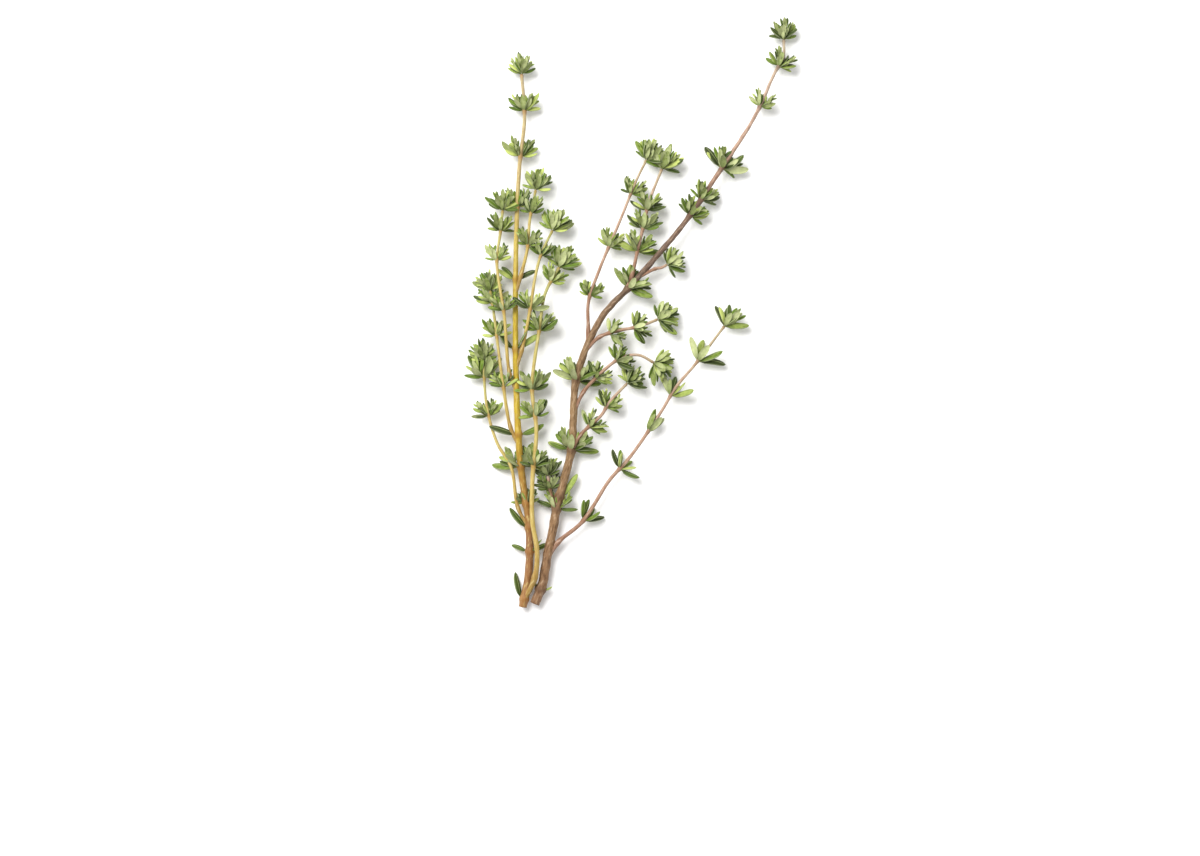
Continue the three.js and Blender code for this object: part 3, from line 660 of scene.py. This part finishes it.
# --- Materials -------------------------------------------------------------------------------------
class Nodes:
    """A short way to write a material's nodes."""

    def __init__(self, name):
        self.material = bpy.data.materials.new(name)
        self.material.use_nodes = True
        self.tree = self.material.node_tree
        self.shader = self.tree.nodes["Principled BSDF"]

    def add(self, kind, inputs=None, **settings):
        node = self.tree.nodes.new(kind)
        for key, value in settings.items():
            setattr(node, key, value)
        for key, value in (inputs or {}).items():
            self.set(node.inputs[key], value)
        return node

    def set(self, socket, value):
        if isinstance(value, bpy.types.NodeSocket):
            self.tree.links.new(value, socket)
        else:
            socket.default_value = value

    def math(self, operation, a, b=0.0, clamp=False):
        node = self.add("ShaderNodeMath", {0: a, 1: b}, operation=operation, use_clamp=clamp)
        return node.outputs[0]

    def smooth(self, value, low, high):
        node = self.add(
            "ShaderNodeMapRange",
            {"Value": value, "From Min": low, "From Max": high},
            interpolation_type="SMOOTHSTEP",
        )
        return node.outputs["Result"]

    def mix(self, factor, a, b, blend="MIX"):
        node = self.add("ShaderNodeMix", data_type="RGBA", blend_type=blend)
        self.set(node.inputs[0], factor)
        self.set(node.inputs[6], a)
        self.set(node.inputs[7], b)
        return node.outputs[2]

    def tint(self, mask, strength, under, colour, blend="MIX"):
        """A colour laid over what is under it, as far as the mask says."""
        return self.mix(self.math("MULTIPLY", mask, strength), under, (*colour, 1), blend)

    def ramp(self, value, stops):
        node = self.add("ShaderNodeValToRGB", {"Fac": value})
        elements = node.color_ramp.elements
        elements[0].position, elements[0].color = stops[0][0], (*stops[0][1], 1)
        elements[1].position, elements[1].color = stops[-1][0], (*stops[-1][1], 1)
        for position, colour in stops[1:-1]:
            elements.new(position).color = (*colour, 1)
        return node.outputs["Color"]

    def noise(self, vector, scale, detail=3.0):
        inputs = {"Vector": vector, "Scale": scale, "Detail": detail}
        return self.add("ShaderNodeTexNoise", inputs).outputs["Fac"]

    def bump(self, height, strength, distance):
        inputs = {"Height": height, "Strength": strength, "Distance": distance}
        return self.add("ShaderNodeBump", inputs).outputs["Normal"]


def attribute(nodes, name, output="Fac"):
    return nodes.add("ShaderNodeAttribute", attribute_name=name).outputs[output]


def millimetres(nodes):
    """The place on the object, in mm."""
    place = nodes.add("ShaderNodeTexCoord").outputs["Object"]
    scaled = nodes.add("ShaderNodeVectorMath", {0: place}, operation="SCALE")
    scaled.inputs["Scale"].default_value = 1 / MM
    return scaled.outputs[0]


ALBEDO = 0.76  # of a colour as seen, because the studio light is brighter than one


def linear(r, g, b):
    """A colour given as seen, from 0 to 255, as the shader's linear values."""
    return tuple(
        ALBEDO * ((c / 255 / 12.92) if c < 11 else ((c / 255 + 0.055) / 1.055) ** 2.4) for c in (r, g, b)
    )


def leaf_material():
    nodes = Nodes("thyme_leaf")
    place = nodes.add("ShaderNodeSeparateXYZ", {0: attribute(nodes, "leaf_place", "Vector")})
    u, v, top = place.outputs
    tone, age = attribute(nodes, "leaf_tone"), attribute(nodes, "leaf_age")
    mm = millimetres(nodes)
    patches = nodes.noise(mm, 1.1, 4.0)
    grain = nodes.noise(mm, 7.0, 3.0)
    off_middle = nodes.math("ABSOLUTE", v)

    shade = nodes.math("ADD", nodes.math("MULTIPLY", tone, 0.95), nodes.math("MULTIPLY", patches, 0.4))
    darker = nodes.math("ADD", nodes.math("MULTIPLY", age, 0.34), 0.02)
    shade = nodes.math("SUBTRACT", shade, darker, clamp=True)
    upper = nodes.ramp(
        shade,
        [
            (0.0, linear(36, 52, 4)),
            (0.3, linear(66, 90, 6)),
            (0.6, linear(106, 136, 16)),
            (1.0, linear(208, 220, 122)),
        ],
    )
    greyed = nodes.tint(age, 0.4, upper, linear(92, 100, 40))
    rib = nodes.smooth(off_middle, 0.13, 0.03)
    ribbed = nodes.tint(rib, 0.55, greyed, linear(196, 206, 148))
    margin = nodes.smooth(off_middle, 0.8, 0.98)
    edged = nodes.tint(margin, 0.6, ribbed, linear(208, 216, 172))
    stalk = nodes.smooth(u, 0.16, 0.02)
    stalked = nodes.tint(stalk, 0.7, edged, linear(190, 190, 110))
    lower = nodes.ramp(
        nodes.math("ADD", nodes.math("MULTIPLY", tone, 0.5), nodes.math("MULTIPLY", patches, 0.5)),
        [(0.2, linear(126, 142, 64)), (0.8, linear(222, 228, 172))],
    )
    under = nodes.smooth(top, 0.12, -0.12)
    both = nodes.mix(under, stalked, lower)
    glands = nodes.add("ShaderNodeTexVoronoi", {"Vector": mm, "Scale": 4.2}, feature="F1")
    dots = nodes.smooth(glands.outputs["Distance"], 0.22, 0.1)
    dotted = nodes.tint(dots, 0.28, both, linear(60, 70, 20))
    speckled = nodes.tint(grain, 0.25, dotted, linear(170, 188, 110), "SOFT_LIGHT")
    # Painted shade: each leaf's colour is darkened towards its base, where leaves crowd together in a
    # cluster and shade each other.
    painted_base_shade = nodes.smooth(u, 0.5, 0.05)
    base_shaded = nodes.tint(painted_base_shade, 0.55, speckled, linear(120, 132, 70), "MULTIPLY")
    nodes.set(nodes.shader.inputs["Base Color"], base_shaded)

    veins = nodes.math("SUBTRACT", nodes.math("MULTIPLY", u, 9.0), nodes.math("MULTIPLY", off_middle, 2.2))
    ridges = nodes.math("SINE", nodes.math("MULTIPLY", veins, 6.28))
    height = nodes.math("ADD", nodes.math("MULTIPLY", grain, 0.7), nodes.math("MULTIPLY", ridges, 0.16))
    height = nodes.math("SUBTRACT", height, nodes.math("MULTIPLY", dots, 0.35))
    nodes.set(nodes.shader.inputs["Normal"], nodes.bump(height, 0.55, 0.00012))
    rough = nodes.math("ADD", 0.42, nodes.math("MULTIPLY", grain, 0.25))
    nodes.set(nodes.shader.inputs["Roughness"], rough)
    nodes.shader.inputs["Specular IOR Level"].default_value = 0.26
    nodes.shader.inputs["Sheen Weight"].default_value = 0.06
    nodes.shader.inputs["Sheen Roughness"].default_value = 0.45
    return nodes.material


def bark_material(name, stops, knot, fissure, light, roughness):
    """Bark whose colour changes along the stem, with dark fissures, light fibres and darker nodes."""
    nodes = Nodes(name)
    share = attribute(nodes, "stem_share")
    grain = attribute(nodes, "stem_grain", "Vector")
    stretched = nodes.add("ShaderNodeVectorMath", {0: grain, 1: (1.0, 1.0, 0.22)}, operation="MULTIPLY")
    fibres = nodes.noise(stretched.outputs[0], 2.6, 5.0)
    fine = nodes.noise(stretched.outputs[0], 9.0, 3.0)
    patches = nodes.noise(millimetres(nodes), 0.5, 3.0)
    colour = nodes.ramp(share, stops)
    cracks = nodes.smooth(fibres, 0.5, 0.34)
    darkened = nodes.tint(cracks, 0.75, colour, fissure, "MULTIPLY")
    lit = nodes.tint(nodes.smooth(fibres, 0.54, 0.7), 0.6, darkened, light)
    mottled = nodes.tint(nodes.smooth(patches, 0.45, 0.7), 0.3, lit, knot)
    knotted = nodes.tint(attribute(nodes, "stem_node"), 0.65, mottled, knot)
    nodes.set(nodes.shader.inputs["Base Color"], knotted)
    height = nodes.math("ADD", fibres, nodes.math("MULTIPLY", fine, 0.4))
    nodes.set(nodes.shader.inputs["Normal"], nodes.bump(height, 0.6, 0.0003))
    rough = nodes.math("ADD", roughness, nodes.math("MULTIPLY", fine, 0.25))
    nodes.set(nodes.shader.inputs["Roughness"], rough)
    nodes.shader.inputs["Specular IOR Level"].default_value = 0.3
    nodes.shader.inputs["Sheen Weight"].default_value = 0.08
    return nodes.material


LEAF = leaf_material()
BARKS = {
    "green": bark_material(
        "green_stem_bark",
        [
            (0.0, linear(168, 122, 72)),
            (0.12, linear(150, 104, 66)),
            (0.24, linear(172, 130, 52)),
            (0.34, linear(204, 174, 46)),
            (0.56, linear(206, 180, 52)),
            (0.7, linear(208, 184, 92)),
            (0.8, linear(206, 184, 128)),
            (1.0, linear(196, 178, 140)),
        ],
        linear(158, 106, 44),
        (0.72, 0.62, 0.36),
        linear(232, 212, 136),
        0.4,
    ),
    "gold": bark_material(
        "green_shoot_bark",
        [
            (0.0, linear(176, 142, 74)),
            (0.15, linear(206, 180, 98)),
            (0.6, linear(212, 192, 116)),
            (1.0, linear(186, 188, 112)),
        ],
        linear(170, 124, 56),
        (0.78, 0.72, 0.46),
        linear(236, 222, 160),
        0.4,
    ),
    "woody": bark_material(
        "woody_stem_bark",
        [
            (0.0, linear(146, 108, 74)),
            (0.3, linear(158, 126, 86)),
            (0.45, linear(142, 112, 80)),
            (0.54, linear(112, 92, 76)),
            (0.7, linear(136, 108, 92)),
            (0.78, linear(190, 152, 128)),
            (0.9, linear(214, 184, 164)),
            (1.0, linear(206, 190, 160)),
        ],
        linear(100, 72, 50),
        (0.42, 0.34, 0.27),
        linear(208, 178, 146),
        0.55,
    ),
    "pink": bark_material(
        "branch_bark",
        [
            (0.0, linear(158, 118, 92)),
            (0.25, linear(186, 148, 122)),
            (0.7, linear(206, 174, 150)),
            (1.0, linear(196, 180, 140)),
        ],
        linear(146, 104, 72),
        (0.7, 0.56, 0.48),
        linear(232, 208, 190),
        0.45,
    ),
}

# --- The sprig -------------------------------------------------------------------------------------
for name, shoot in SHOOTS.items():
    stem = Surface()
    add_stem(stem, name)
    if shoot.get("separate"):
        stem.piece(name + "_bark", BARKS[shoot["bark"]], name)
        for i, whorl in enumerate(shoot["whorls"], 1):
            leaves = Surface()
            add_whorl(leaves, name, whorl)
            node = f"{name}_leaves_{i}"
            leaves.piece(node + "_blades", LEAF, node)
    else:
        stem.piece(name + "_bark", BARKS[shoot["bark"]], name)
        leaves = Surface()
        for whorl in shoot["whorls"]:
            add_whorl(leaves, name, whorl)
        leaves.piece(name + "_blades", LEAF, name)


# --- Floor, light and camera -----------------------------------------------------------------------
FLOOR_HALF = 3.0  # metres
FLOOR_COLOUR = (0.93, 0.925, 0.92, 1)
SKY_STRENGTH = 0.7


def floor():
    mesh = bpy.data.meshes.new("floor")
    half = FLOOR_HALF
    corners = [(-half, -half, 0), (half, -half, 0), (half, half, 0), (-half, half, 0)]
    mesh.from_pydata(corners, [], [(0, 1, 2, 3)])
    nodes = Nodes("floor_white")
    nodes.shader.inputs["Base Color"].default_value = FLOOR_COLOUR
    nodes.shader.inputs["Roughness"].default_value = 0.9
    nodes.shader.inputs["Specular IOR Level"].default_value = 0.1
    mesh.materials.append(nodes.material)
    made = bpy.data.objects.new("floor", mesh)
    bpy.context.scene.collection.objects.link(made)


def area_light(name, place, aim, size, watts):
    light = bpy.data.lights.new(name, "AREA")
    light.shape, light.size, light.energy = "DISK", size, watts
    made = bpy.data.objects.new(name, light)
    made.location = place
    made.rotation_mode = "QUATERNION"
    made.rotation_quaternion = (Vector(aim) - Vector(place)).to_track_quat("-Z", "Y")
    bpy.context.scene.collection.objects.link(made)


LENS = 100  # mm, like the sensor
SENSOR = 36
CAMERA_HEIGHT = 1.004
CAMERA_OVER = (-9.75, -34.2)  # the point of the plan under the camera, in mm


def camera():
    data = bpy.data.cameras.new("camera")
    data.lens, data.sensor_width = LENS, SENSOR
    made = bpy.data.objects.new("camera", data)
    x, y = (CAMERA_OVER[0] + SHIFT[0]) * MM, (CAMERA_OVER[1] + SHIFT[1]) * MM
    made.location = (x, y, CAMERA_HEIGHT)
    data.clip_start, data.clip_end = 0.05, 20
    bpy.context.scene.collection.objects.link(made)
    bpy.context.scene.camera = made


floor()
area_light("key", place=(-0.45, 0.5, 0.95), aim=(0, 0, 0), size=0.75, watts=18.5)
world = bpy.data.worlds.new("studio")
bpy.context.scene.world = world
world.use_nodes = True
world.node_tree.nodes["Background"].inputs["Color"].default_value = (1.0, 1.0, 1.0, 1)
world.node_tree.nodes["Background"].inputs["Strength"].default_value = SKY_STRENGTH
bpy.context.scene.view_settings.view_transform = "Standard"
camera()
